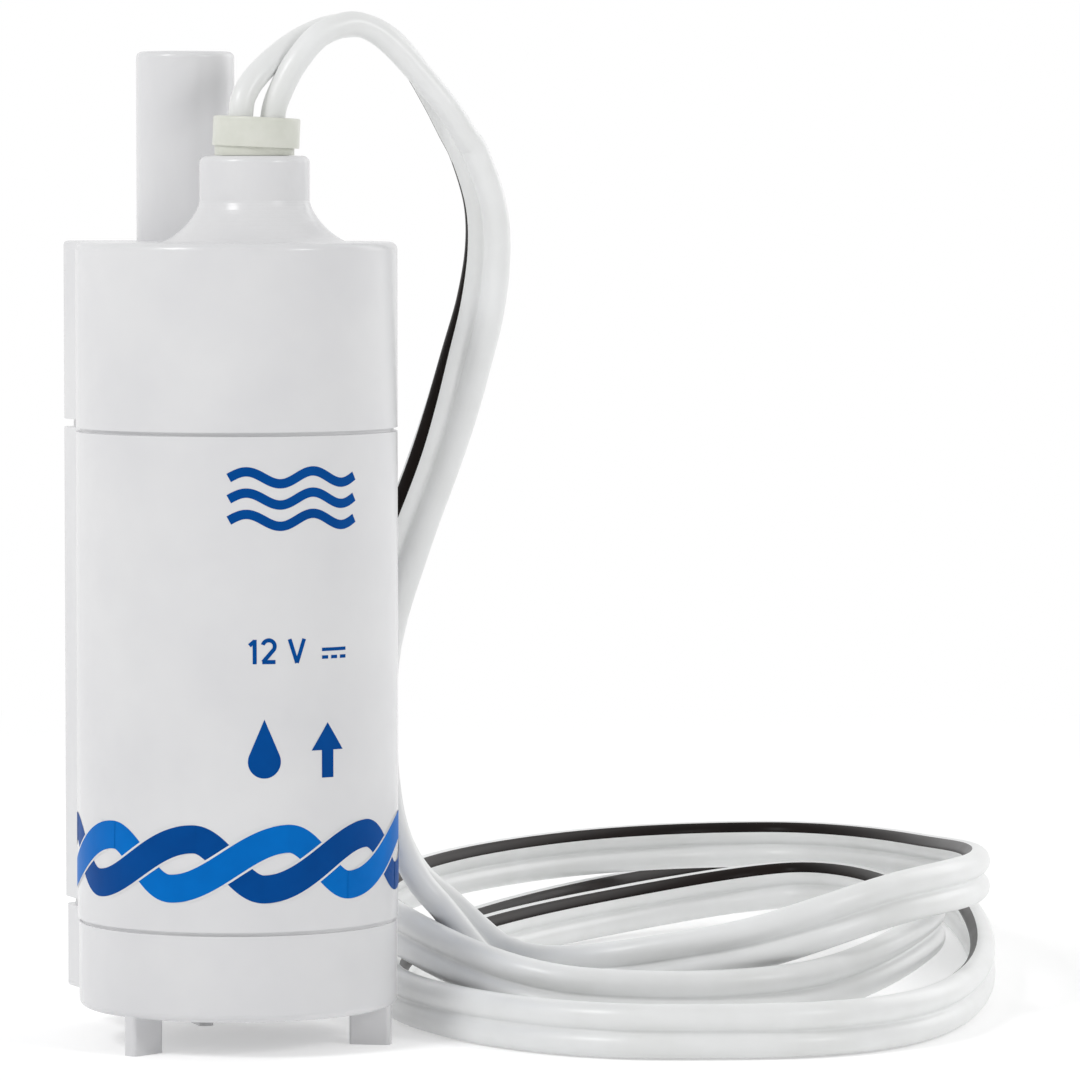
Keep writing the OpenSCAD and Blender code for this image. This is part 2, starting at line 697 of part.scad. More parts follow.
module lead_plain() color([0.95, 0.95, 0.95]) {
    core(plain_route, leaned([0, 0, 1]) - leaned([0, 0, 0]), flex_dir[0]);
}

module lead_striped() color([0.95, 0.95, 0.95]) {
    core(striped_route, leaned([0, 0, 1]) - leaned([0, 0, 0]), flex_dir[0]);
}

module flex_drop() color([0.95, 0.95, 0.95]) {
    flex(0, drop_last);
}

module flex_coil() color([0.95, 0.95, 0.95]) {
    flex(drop_last, flex_last);
}

module tail_plain() color([0.95, 0.95, 0.95]) {
    core(plain_end, flex_dir[flex_last], plain_end[5] - plain_end[4]);
}

module tail_striped() color([0.95, 0.95, 0.95]) {
    core(striped_end, flex_dir[flex_last], striped_end[5] - striped_end[4]);
}

// Stripped strands lying in line with the end of each core
module strand(route) {
    d = unit(route[5] - route[4]);
    translate(route[5]) rotate([0, 90, atan2(d[1], d[0])]) cylinder(d = strand_d, h = strand_len, $fn = 24);
}

module bare_ends() color([0.8, 0.5, 0.3]) {
    strand(plain_end);
    strand(striped_end);
}

base_cover();
motor_housing();
top_cap();
outlet_spigot();
gland_plug();
gland_grommet();
cap_oring();
shaft_seal();
motor_can();
motor_end_bell();
motor_pad();
field_magnets();
lower_bush();
upper_bush();
carbon_brushes();
brush_arms();
motor_tags();
motor_shaft();
armature_core();
armature_windings();
commutator();
thrust_washers();
impeller();
inner_lead_plain();
inner_lead_striped();
lead_plain();
lead_striped();
flex_drop();
flex_coil();
tail_plain();
tail_striped();
bare_ends();
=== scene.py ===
import math

import bmesh
import bpy
from mathutils import Matrix, Vector


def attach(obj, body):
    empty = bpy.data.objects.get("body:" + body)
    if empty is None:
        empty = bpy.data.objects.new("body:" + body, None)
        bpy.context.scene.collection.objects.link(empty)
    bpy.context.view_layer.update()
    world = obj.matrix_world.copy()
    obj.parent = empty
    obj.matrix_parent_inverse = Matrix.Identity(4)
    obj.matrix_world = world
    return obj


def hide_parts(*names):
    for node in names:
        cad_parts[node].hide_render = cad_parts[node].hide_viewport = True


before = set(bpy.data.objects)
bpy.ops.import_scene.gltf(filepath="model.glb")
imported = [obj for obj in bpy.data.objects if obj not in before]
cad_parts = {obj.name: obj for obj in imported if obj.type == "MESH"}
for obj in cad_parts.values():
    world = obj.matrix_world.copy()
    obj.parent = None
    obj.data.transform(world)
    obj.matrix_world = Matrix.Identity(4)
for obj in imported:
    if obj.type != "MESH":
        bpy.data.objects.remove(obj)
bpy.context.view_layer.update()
mm = 0.001
photoTurn = math.radians(-24)  # the photo looks at the pump from this side of its printed face


def turned(p):
    # picture axes in mm to the pump's own axes in metres
    c, s = math.cos(photoTurn), math.sin(photoTurn)
    return Vector((p[0] * c - p[1] * s, p[0] * s + p[1] * c, p[2])) * mm


def linear(hexText, alpha=1.0):
    # sRGB hex to the linear colour that shaders take
    out = []
    for i in (0, 2, 4):
        v = int(hexText[i:i + 2], 16) / 255
        out.append(v / 12.92 if v <= 0.04045 else ((v + 0.055) / 1.055) ** 2.4)
    return (*out, alpha)


# camera: far back, a little above the pump and pitched down
cameraPlan = {"place": (37.9, -802.0, 108.0), "focalPixels": 6416.0, "horizonRow": 180.0, "frame": 1080,
              "sensor": 36, "clip": (0.05, 20)}


def makeCamera(plan):
    data = bpy.data.cameras.new("photoCamera")
    data.sensor_width = plan["sensor"]
    data.lens = plan["sensor"] * plan["focalPixels"] / plan["frame"]
    data.clip_start, data.clip_end = plan["clip"]
    cam = bpy.data.objects.new("photoCamera", data)
    bpy.context.collection.objects.link(cam)
    cam.location = turned(plan["place"])
    pitch = math.atan((plan["frame"] / 2 - plan["horizonRow"]) / plan["focalPixels"])
    aim = turned((0, math.cos(pitch), -math.sin(pitch)))
    cam.rotation_mode = "QUATERNION"
    cam.rotation_quaternion = aim.to_track_quat("-Z", "Y")
    bpy.context.scene.camera = cam


makeCamera(cameraPlan)
print("camera set")


# one helper for every node: kind, settings by attribute or socket, links by socket
def addNode(tree, kind, settings=None, links=None):
    node = tree.nodes.new(kind)
    for key, value in (settings or {}).items():
        if isinstance(key, int) or key in node.inputs:
            node.inputs[key].default_value = value
        else:
            setattr(node, key, value)
    for key, source in (links or {}).items():
        tree.links.new(source, node.inputs[key])
    return node


def newMaterial(name):
    mat = bpy.data.materials.new(name)
    mat.use_nodes = True
    mat.node_tree.nodes.clear()
    return mat, mat.node_tree


def plainlySeen(tree):
    # 1 for the rays that show a backdrop: straight, mirrored or through glass
    path = addNode(tree, "ShaderNodeLightPath")
    seen = path.outputs["Is Camera Ray"]
    for ray in ("Is Glossy Ray", "Is Transmission Ray"):
        either = addNode(tree, "ShaderNodeMath", {"operation": "MAXIMUM"}, {0: seen, 1: path.outputs[ray]})
        seen = either.outputs[0]
    return seen


def finishMaterial(tree, shader):
    out = tree.nodes.new("ShaderNodeOutputMaterial")
    tree.links.new(shader.outputs[0], out.inputs["Surface"])


def mottle(tree, scaleMm, detail=3.0):
    # soft noise whose blotches are about scaleMm across
    coord = addNode(tree, "ShaderNodeTexCoord")
    return addNode(tree, "ShaderNodeTexNoise", {"Scale": 1000 / scaleMm, "Detail": detail, "Roughness": 0.55},
                   {"Vector": coord.outputs["Object"]})


def ramp(tree, source, low, high, start=0.3, stop=0.7):
    r = addNode(tree, "ShaderNodeValToRGB", None, {"Fac": source})
    r.color_ramp.elements[0].position, r.color_ramp.elements[1].position = start, stop
    r.color_ramp.elements[0].color, r.color_ramp.elements[1].color = low, high
    return r


def span(tree, source, low, high):
    return addNode(tree, "ShaderNodeMapRange", {"To Min": low, "To Max": high}, {"Value": source})


# moulded ABS: bright white skin with a faint orange peel and patches that were handled dull
absLook = {"white": "E6E6E7", "shade": "DFDFE1", "peelMm": 2.6, "peelDepthMm": 0.1, "peelStrength": 0.05,
           "patchMm": 16, "roughness": (0.2, 0.3), "ior": 1.53}


def mouldedAbs(name, look):
    mat, tree = newMaterial(name)
    patch = mottle(tree, look["patchMm"])
    peel = mottle(tree, look["peelMm"], 2.0)
    tone = ramp(tree, patch.outputs["Fac"], linear(look["shade"]), linear(look["white"]))
    rough = span(tree, patch.outputs["Fac"], *look["roughness"])
    bump = addNode(tree, "ShaderNodeBump",
                   {"Strength": look["peelStrength"], "Distance": look["peelDepthMm"] * mm},
                   {"Height": peel.outputs["Fac"]})
    shader = addNode(tree, "ShaderNodeBsdfPrincipled", {"IOR": look["ior"]},
                     {"Base Color": tone.outputs["Color"], "Roughness": rough.outputs["Result"],
                      "Normal": bump.outputs["Normal"]})
    finishMaterial(tree, shader)
    return mat


# extruded PVC sheath: smooth, with a faint sheen
pvcLook = {"white": ("EBECEB", "F2F3F3"), "stripe": ("171312", "1E1715"), "stripeSpecular": 0.08,
           "patchMm": 9, "roughness": (0.28, 0.36), "ior": 1.52}


def sheathPvc(name, tones, look, specular=0.5):
    mat, tree = newMaterial(name)
    patch = mottle(tree, look["patchMm"])
    tone = ramp(tree, patch.outputs["Fac"], *(linear(t) for t in tones))
    rough = span(tree, patch.outputs["Fac"], *look["roughness"])
    shader = addNode(tree, "ShaderNodeBsdfPrincipled", {"IOR": look["ior"], "Specular IOR Level": specular},
                     {"Base Color": tone.outputs["Color"], "Roughness": rough.outputs["Result"]})
    finishMaterial(tree, shader)
    return mat


# plain finishes: one colour pair broken up by a fine mottle
plainLook = {"spread": 0.06, "bumpStrength": 0.12}


def plainFinish(name, low, high, grainMm, roughness, metallic=0.0, bumpMm=0.05, specular=0.5):
    mat, tree = newMaterial(name)
    grain = mottle(tree, grainMm)
    tone = ramp(tree, grain.outputs["Fac"], linear(low), linear(high))
    spread = plainLook["spread"]
    rough = span(tree, grain.outputs["Fac"], roughness - spread, roughness + spread)
    bump = addNode(tree, "ShaderNodeBump", {"Strength": plainLook["bumpStrength"], "Distance": bumpMm * mm},
                   {"Height": grain.outputs["Fac"]})
    shader = addNode(tree, "ShaderNodeBsdfPrincipled", {"Metallic": metallic, "Specular IOR Level": specular},
                     {"Base Color": tone.outputs["Color"], "Roughness": rough.outputs["Result"],
                      "Normal": bump.outputs["Normal"]})
    finishMaterial(tree, shader)
    return mat


caseWhite = mouldedAbs("mouldedWhiteAbs", absLook)
plugIvory = plainFinish("ivoryNylonPlug", "D9DBD0", "E2E3DA", 3.0, 0.34)
pvcWhite = sheathPvc("whitePvcSheath", pvcLook["white"], pvcLook)
pvcBlack = sheathPvc("blackPvcStripe", pvcLook["stripe"], pvcLook, pvcLook["stripeSpecular"])
copperWire = plainFinish("bareCopperStrand", "A85A34", "C97C50", 0.8, 0.34, 1.0, 0.02)
nodeFinishes = {
    "rubberBlack": (plainFinish("mouldedRubber", "141414", "202020", 1.2, 0.62),
                    ["gland_grommet", "cap_oring", "shaft_seal", "motor_pad"]),
    "zincSteel": (plainFinish("zincPlatedSteel", "A9ACB0", "BEC1C4", 1.6, 0.32, 1.0, 0.02),
                  ["motor_can", "motor_shaft", "armature_core"]),
    "nylon": (plainFinish("naturalNylon", "DAD6C6", "E4E1D4", 2.0, 0.46), ["motor_end_bell", "thrust_washers"]),
    "ferrite": (plainFinish("sinteredFerrite", "2A2A2C", "3A3A3D", 0.8, 0.66), ["field_magnets"]),
    "carbon": (plainFinish("pressedCarbon", "1C1C1D", "29292B", 0.6, 0.6), ["carbon_brushes"]),
    "bronze": (plainFinish("sinteredBronze", "8D6536", "A67C48", 0.5, 0.5, 1.0, 0.03),
               ["lower_bush", "upper_bush"]),
    "brass": (plainFinish("stampedBrass", "B98F43", "CDA65C", 1.0, 0.3, 1.0, 0.02),
              ["brush_arms", "motor_tags"]),
    "copper": (plainFinish("enamelledCopper", "9A4A24", "B9653A", 0.5, 0.36, 1.0, 0.04),
               ["armature_windings", "commutator"]),
    "impeller": (plainFinish("glassFilledNylonBlue", "3A5878", "466888", 1.2, 0.42), ["impeller"]),
    "innerCore": (pvcWhite, ["inner_lead_plain", "inner_lead_striped"]),
    "casing": (caseWhite, ["base_cover", "motor_housing", "top_cap", "outlet_spigot"]),
    "plug": (plugIvory, ["gland_plug"]),
}


def dressNodes(finishes):
    for mat, names in finishes.values():
        for name in names:
            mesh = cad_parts[name].data
            mesh.materials.clear()
            mesh.materials.append(mat)


dressNodes(nodeFinishes)
print("materials made")


# supply lead: two cores leave the plug, join into a flat pair and lie in a coil
leadPlan = {
    "coreR": 1.7, "leadR": 1.55,
    "plainPts": [(5.9, -4.6, 119.4), (7.7, -4.2, 122.7), (10.2, -3, 125.7), (12.9, -1.7, 127.1),
                 (15.1, -0.6, 127.4), (17.6, 0.4, 126.4), (20.1, 1.2, 124.3), (23.5, 2.2, 120.5),
                 (26.4, 3, 116.9), (29, 4, 113.3)],
    "stripedPts": [(1.4, -6, 118.7), (3.2, -4.4, 121.4), (6.6, -1, 124.5), (10, 2.2, 126.5),
                   (13, 4.6, 127.3), (16, 7, 127.3), (19, 8.8, 125.7), (21.9, 9.6, 122.5),
                   (24.3, 9.6, 118.5), (26.6, 8.8, 114.2)],
    "dropPts": [(29.4, 6.3, 111.2), (30.8, 7, 105.2), (31.3, 8, 99.2), (30.4, 9.4, 92.4), (28.6, 11, 85.6),
                (26.6, 12.5, 78.7), (24.3, 14, 71.9), (20.9, 16, 62.6), (18.5, 17.5, 54.3), (17.4, 18, 46.7),
                (17.6, 18, 39), (18.4, 18, 31.5), (20.2, 18.3, 24.9), (23.5, 18.6, 18.8)],
    "dropSide": [(-0.5, 0.87, 0), (-0.6, 0.8, 0), (-0.7, 0.71, 0), (-0.84, 0.54, 0), (-0.94, 0.34, 0),
                 (-0.99, 0.14, 0), (-1, 0, 0), (-1, 0.1, 0), (-0.8, 0.6, 0), (-0.5, 0.87, 0),
                 (-0.2, 0.98, 0), (-0.1, 1, 0), (-0.1, 0.98, 0.05), (-0.05, 0.97, 0.15)],
    # where the drop lands inside the first turn
    "landing": (26.3, 18.3, 14.6), "landingSide": (0, 0.93, 0.35),
    # shifts in mm by which the flex settles off its route where it bends
    "settle": {("plainPts", 9): (-0.35, 0, 0), ("dropPts", 0): (-0.35, 0, 0), ("dropPts", 1): (0.15, 0, 0),
               ("dropPts", 11): (-0.3, 0.2, 0), ("dropPts", 12): (-0.9, 0.3, 0),
               ("dropPts", 13): (-1.4, 0.2, 0.1), ("coilZ", 5): 0.9},
    # reach of each half turn, and how long the flex lingers there
    "coilX": [(26, 1), (96.5, 1.18), (16.5, 1), (90.5, 1.15), (19, 0.75), (98.5, 1.1), (17.5, 1)],
    "coilY": [(46, 1), (3, 1.2), (135.5, 1), (-4, 1.4), (125, 1), (-18, 1.5), (166, 1), (2, 1)],
    "coilZ": [17, 8, 10.6, 16.7, 15.8, 11.2, 10.8, 10.8, 10.9, 10.8, 6.4, 6.2, 9.6, 7.2, 6, 4, 3.6, 3.5],
    "coilPace": 1.92, "coilFront": 0.47, "coilStart": 0.06, "coilStop": 3.04, "coilSteps": 312,
    # the pair lies over where it lands, stands on edge after this share of a turn, and joins at these steps
    "lying": 2, "lyingFade": 0.14, "joinSteps": (4, 7),
    "plainTail": [(22.6, 67.5, 1.75), (20, 64.3, 1.6), (16, 62, 1.6), (11, 61, 1.6), (5, 61, 1.6)],
    "stripedTail": [(22.2, 68.4, 5), (19.4, 67.8, 4.1), (15, 67.4, 2), (10, 67.6, 1.6), (4, 68.6, 1.6)],
    # a core swells over so many steps, and runs so many into the pair; sizes there are shares of coreR
    "taper": 14, "sunk": 5, "sunkSize": 0.95, "flushSize": 1.003,
    "stripeAngle": -50, "stripeHalf": 31, "lobeSides": 27, "lobeReach": 156, "coreSides": 28,
    "dropSteps": 8, "leadSteps": 8,
}
plugPlan = {"pivot": (0, -6.2, 108.2), "tilt": 2.5, "coreX": 2.15, "leadZ": 4.5, "clearZ": 8.2}
strandPlan = {"count": 7, "length": 7.0, "uneven": 0.03, "wireR": 0.25, "ringR": 0.5, "turns": 0.9,
              "rings": 10, "sides": 8}


def leaned(p):
    # a point of the leaning plug, given in mm from its pivot
    axis = Vector((-math.sin(photoTurn), math.cos(photoTurn), 0))
    lean = Matrix.Rotation(math.radians(plugPlan["tilt"]), 3, axis)
    return (Vector(plugPlan["pivot"]) + lean @ Vector(p)) * mm


def swing(reaches, u):
    # swings from one reach to the next, held back by the linger of the first
    i = min(int(u), len(reaches) - 2)
    (start, linger), (stop, _) = reaches[i], reaches[i + 1]
    return start + (stop - start) * (1 - math.cos(math.pi * (u - i) ** linger)) / 2


def eased(values, u):
    # a smooth value between evenly spaced ones
    u = min(u, len(values) - 1.001)
    i = int(u)
    f = u - i
    a, b, c, d = (values[max(0, min(len(values) - 1, i + k))] for k in (-1, 0, 1, 2))
    return b + f / 2 * (c - a + f * (2 * a - 5 * b + 4 * c - d + f * (3 * (b - c) + d - a)))


def coilAt(t, plan, heights):
    # where the flex lies after t turns
    return turned((swing(plan["coilX"], plan["coilPace"] * t), swing(plan["coilY"], 2 * t + plan["coilFront"]),
                   eased(heights, 8 * t)))


def smoothRun(points, steps):
    # a smooth curve through given points, steps pieces for each gap
    out = []
    for i in range(len(points) - 1):
        a, b = points[max(i - 1, 0)], points[i]
        c, d = points[i + 1], points[min(i + 2, len(points) - 1)]
        for k in range(steps):
            f = k / steps
            out.append(b + (f / 2) * ((c - a) + f * ((2 * a - 5 * b + 4 * c - d) + f * (3 * (b - c) + d - a))))
    out.append(points[-1].copy())
    return out


def tangents(points):
    last = len(points) - 1
    return [(points[min(i + 1, last)] - points[max(i - 1, 0)]).normalized() for i in range(last + 1)]


def squared(side, direction):
    return (side - direction * side.dot(direction)).normalized()


def settled(plan, key):
    # a list of route points with their shifts, in metres
    shifts = plan["settle"]
    return [turned(Vector(p) + Vector(shifts.get((key, i), (0, 0, 0)))) for i, p in enumerate(plan[key])]


def flexRoute(plan):
    coilTs = [plan["coilStart"] + (plan["coilStop"] - plan["coilStart"]) * i / plan["coilSteps"]
              for i in range(plan["coilSteps"] + 1)]
    heights = [z + plan["settle"].get(("coilZ", i), 0) for i, z in enumerate(plan["coilZ"])]
    coil = [coilAt(t, plan, heights) for t in coilTs]
    coilSide = []
    for t in coilTs:
        lying = plan["lying"] * max(0.0, 1 - (t - plan["coilStart"]) / plan["lyingFade"])
        coilSide.append(turned((0, lying, 1)).normalized())
    # the drop starts the way both leads arrive, and joins the coil a little way in
    arrive = (settled(plan, "plainPts")[-1] + settled(plan, "stripedPts")[-1]) / 2
    join, ahead = plan["joinSteps"]
    dropPts = [arrive] + settled(plan, "dropPts") + [turned(plan["landing"]), coil[join], coil[ahead]]
    dropSide = [turned(p).normalized() for p in plan["dropSide"] + [plan["landingSide"]]]
    dropSide = [dropSide[0]] + dropSide + [coilSide[join], coilSide[ahead]]
    first, last = plan["dropSteps"], (len(dropPts) - 2) * plan["dropSteps"]
    points = smoothRun(dropPts, plan["dropSteps"])[first:last] + coil[join:]
    sides = smoothRun(dropSide, plan["dropSteps"])[first:last] + coilSide[join:]
    dirs = tangents(points)
    return points, dirs, [squared(s, d) for s, d in zip(sides, dirs)]


def carried(points, dirs, side):
    # carries one side direction along a route without twist
    out = [squared(side, dirs[0])]
    for d in dirs[1:]:
        out.append(squared(out[-1], d))
    return out


def meshObject(name, verts, faces, mats, faceMats=None, smooth=True):
    mesh = bpy.data.meshes.new(name)
    mesh.from_pydata(verts, [], faces)
    for m in mats:
        mesh.materials.append(m)
    if faceMats:
        mesh.polygons.foreach_set("material_index", faceMats)
    mesh.polygons.foreach_set("use_smooth", [smooth] * len(mesh.polygons))
    mesh.update()
    obj = bpy.data.objects.new(name, mesh)
    bpy.context.collection.objects.link(obj)
    return obj


def sweep(name, outline, stripes, points, dirs, sides, mats, caps, scales=None):
    # runs an outline along a route; faces listed in stripes take the second material
    n, verts, faces, tags = len(outline), [], [], []
    for i, (p, d, u) in enumerate(zip(points, dirs, sides)):
        v = d.cross(u)
        size = (scales[i] if scales else 1.0) * mm
        verts += [p + u * (a * size) + v * (b * size) for a, b in outline]
    for i in range(len(points) - 1):
        for k in range(n):
            a, b = i * n + k, i * n + (k + 1) % n
            faces.append((a, b, b + n, a + n))
            tags.append(1 if k in stripes else 0)
    # the end faces have points of their own, so that the rim keeps its shading
    start = len(verts)
    verts += verts[:n] + verts[-n:]
    for cap in caps:
        faces.append(tuple(start + c for c in reversed(cap)))
        faces.append(tuple(start + n + c for c in cap))
        tags += [0, 0]
    return meshObject(name, verts, faces, mats, tags)


def lobe(plan, sign):
    # outline of one core of the pair, open at the waist, and the angle of each point
    r, n, reach = plan["coreR"], plan["lobeSides"], plan["lobeReach"]
    angles = [math.radians(-reach + 2 * reach * i / (n - 1)) for i in range(n)]
    outline = [(sign * r * (1 + math.cos(a)), sign * r * math.sin(a)) for a in angles]
    return outline, [math.degrees(a) for a in angles]


def inStripe(plan, degrees):
    off = (degrees - plan["stripeAngle"] + 180) % 360 - 180
    return abs(off) < plan["stripeHalf"]


def makeFlex(plan):
    points, dirs, sides = flexRoute(plan)
    right, angles = lobe(plan, 1)
    left, _ = lobe(plan, -1)
    n = plan["lobeSides"]
    stripes = {k for k in range(n - 1) if inStripe(plan, (angles[k] + angles[k + 1]) / 2)}
    obj = sweep("twinFlex", right + left, stripes, points, dirs, sides, [pvcWhite, pvcBlack],
                [tuple(range(n)), tuple(range(n, 2 * n)), (0, n - 1, n, 2 * n - 1)])
    return obj, points, sides


def roundOutline(plan):
    r, sides = plan["leadR"], plan["coreSides"]
    angles = [2 * math.pi * i / sides for i in range(sides)]
    stripes = {k for k in range(sides) if inStripe(plan, math.degrees(angles[k] + math.pi / sides))}
    return [(r * math.cos(a), r * math.sin(a)) for a in angles], stripes


def makeCore(name, plan, points, side, striped, fromEnd):
    # a parted core: it swells to the size of the joined pair and runs a little way into it
    dirs = tangents(points)
    full, sunk = plan["coreR"] / plan["leadR"], plan["sunk"]
    low, flush = plan["sunkSize"], plan["flushSize"]
    inside = [full * (low + (flush - low) * i / sunk) for i in range(sunk)]
    swell = flush * full - 1
    scales = inside + [1 + swell * max(0.0, 1 - i / plan["taper"]) for i in range(len(points) - sunk)]
    if fromEnd:
        sides = carried(points[::-1], dirs[::-1], side)[::-1]
        scales.reverse()
    else:
        sides = carried(points, dirs, side)
    outline, stripes = roundOutline(plan)
    return sweep(name, outline, stripes if striped else set(), points, dirs, sides, [pvcWhite, pvcBlack],
                 [tuple(range(len(outline)))], scales)


def runLength(points):
    return sum((b - a).length for a, b in zip(points, points[1:]))


def makeStrands(name, plan, start, direction):
    # a twist of fine wires where the core was stripped, one in the middle and the others round it
    up = Vector((0, 0, 1))
    side = direction.cross(up).normalized()
    verts, faces = [], []
    rings, sides = plan["rings"], plan["sides"]
    for w in range(plan["count"]):
        offset = 0.0 if w == 0 else plan["ringR"]
        first = 2 * math.pi * w / (plan["count"] - 1)
        reach = plan["length"] * (1 - plan["uneven"] * (w % 3))
        base = len(verts)
        for i in range(rings + 1):
            f = i / rings
            a = first + plan["turns"] * 2 * math.pi * f
            mid = start + direction * (reach * f * mm) + (side * math.cos(a) + up * math.sin(a)) * (offset * mm)
            for k in range(sides):
                b = 2 * math.pi * k / sides
                verts.append(mid + (side * math.cos(b) + up * math.sin(b)) * (plan["wireR"] * mm))
        for i in range(rings):
            for k in range(sides):
                a, b = base + i * sides + k, base + i * sides + (k + 1) % sides
                faces.append((a, b, b + sides, a + sides))
        faces.append(tuple(base + k for k in reversed(range(sides))))
        faces.append(tuple(base + rings * sides + k for k in range(sides)))
    return meshObject(name, verts, faces, [copperWire])


def makeLead(plan):
    gap = plan["coreR"] * mm
    flex, points, sides = makeFlex(plan)
    steps, sunk = plan["leadSteps"], plan["sunk"]
    runs = {}
    for name, sign in (("plain", -1), ("striped", 1)):
        hole = -sign * plugPlan["coreX"]
        core = [p + side * (sign * gap) for p, side in zip(points, sides)]
        marks = [leaned((hole, 0, plugPlan["leadZ"])), leaned((hole, 0, plugPlan["clearZ"]))]
        marks += settled(plan, name + "Pts") + [core[0], core[steps]]
        runs[name] = smoothRun(marks, steps)[:-steps] + core[1:sunk + 1]
        ends = [core[-3], core[-1]] + settled(plan, name + "Tail")
        runs[name + "End"] = core[-1 - sunk:-1] + smoothRun(ends, steps)[steps:]
    plain = makeCore("plainCore", plan, runs["plain"], sides[0], False, True)
    striped = makeCore("stripedCore", plan, runs["striped"], sides[0], True, True)
    plainTail = makeCore("plainTail", plan, runs["plainEnd"], sides[-1], False, False)
    stripedTail = makeCore("stripedTail", plan, runs["stripedEnd"], sides[-1], True, False)
    tips = []
    for name in ("plainEnd", "stripedEnd"):
        run = runs[name]
        tips.append(makeStrands(name + "Strands", strandPlan, run[-1], (run[-1] - run[-2]).normalized()))
    for obj, nodes in ((flex, ("flex_drop", "flex_coil")),
                       (plain, ("lead_plain",)), (striped, ("lead_striped",)),
                       (plainTail, ("tail_plain",)), (stripedTail, ("tail_striped",)),
                       (tips[0], ("bare_ends",)), (tips[1], ("bare_ends",))):
        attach(obj, "casing")
        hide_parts(*nodes)
    print("supply lead", round(runLength(points), 3), "m of flex")


makeLead(leadPlan)


# print on the housing: laid out flat in mm as arc length and height, then wrapped on
printPlan = {"radius": 20.1, "lift": 0.02, "step": 0.02}
inkDark = plainFinish("screenInkDarkBlue", "00468F", "004D9A", 6.0, 0.4, specular=0.05)
inkMid = plainFinish("screenInkMidBlue", "006AC0", "0072CB", 6.0, 0.4, specular=0.05)


def wrapped(s, z, layer=0):
    # arc length to the right of the middle of the printed face, and height
    r = printPlan["radius"] + printPlan["lift"] + layer * printPlan["step"]
    a = s / printPlan["radius"]
    return Vector((r * math.sin(a), -r * math.cos(a), z)) * mm


def ribbon(line, width, layer, across=4):
    # a strip of quads along a flat line of (s, z) points
    verts, faces = [], []
    for i, (s, z) in enumerate(line):
        a, b = line[max(i - 1, 0)], line[min(i + 1, len(line) - 1)]
        run, rise = b[0] - a[0], b[1] - a[1]
        size = math.hypot(run, rise)
        for k in range(across + 1):
            off = width * (0.5 - k / across)
            verts.append(wrapped(s - rise / size * off, z + run / size * off, layer))
    for i in range(len(line) - 1):
        for k in range(across):
            a = i * (across + 1) + k
            faces.append((a, a + 1, a + across + 2, a + across + 1))
    return verts, faces


# the band is a plain two-strand twist: each strand lies on top on its way up
bandPlan = {"middle": 24.3, "swing": 3.08, "width": 3.45, "pitch": 23.7, "rise": 14.9, "outline": 0.26,
            "crest": -1.2, "lap": 0.25, "outlineFrom": 0.12, "halfTurns": 8, "before": 3, "endAngle": 125,
            "sideAngle": 1.6, "pastMiddleMm": 2, "samples": 40}


def strandHeight(s, plan):
    s = s % plan["pitch"]
    if s < plan["rise"]:
        f = 1 - math.cos(math.pi * s / plan["rise"])
    else:
        f = 1 + math.cos(math.pi * (s - plan["rise"]) / (plan["pitch"] - plan["rise"]))
    return plan["middle"] + plan["swing"] * (f - 1)


def bandUnit(plan):
    # half a pitch of both strands: the rising one, its pale outline and the other one under it
    half = plan["pitch"] / 2
    verts, faces, tones = [], [], []

    def add(start, stop, shift, width, layer, tone):
        line = []
        for i in range(plan["samples"] + 1):
            s = start + (stop - start) * i / plan["samples"]
            line.append((s - shift, strandHeight(s, plan)))
        v, f = ribbon(line, width, layer)
        base = len(verts)
        verts.extend(v)
        faces.extend(tuple(base + k for k in face) for face in f)
        tones.extend([tone] * len(f))

    rise, lap, bare = plan["rise"], plan["lap"], plan["outlineFrom"]
    add(rise - lap, plan["pitch"] + lap, half, plan["width"], 0, 1)  # falling, underneath
    add(rise * bare, rise * (1 - bare), 0.0, plan["width"] + 2 * plan["outline"], 1, 2)
    add(-lap, rise + lap, 0.0, plan["width"], 2, 0)
    obj = meshObject("bandUnit", verts, faces, [])
    tone = obj.data.attributes.new("tone", "INT", "FACE")
    tone.data.foreach_set("value", tones)
    return obj


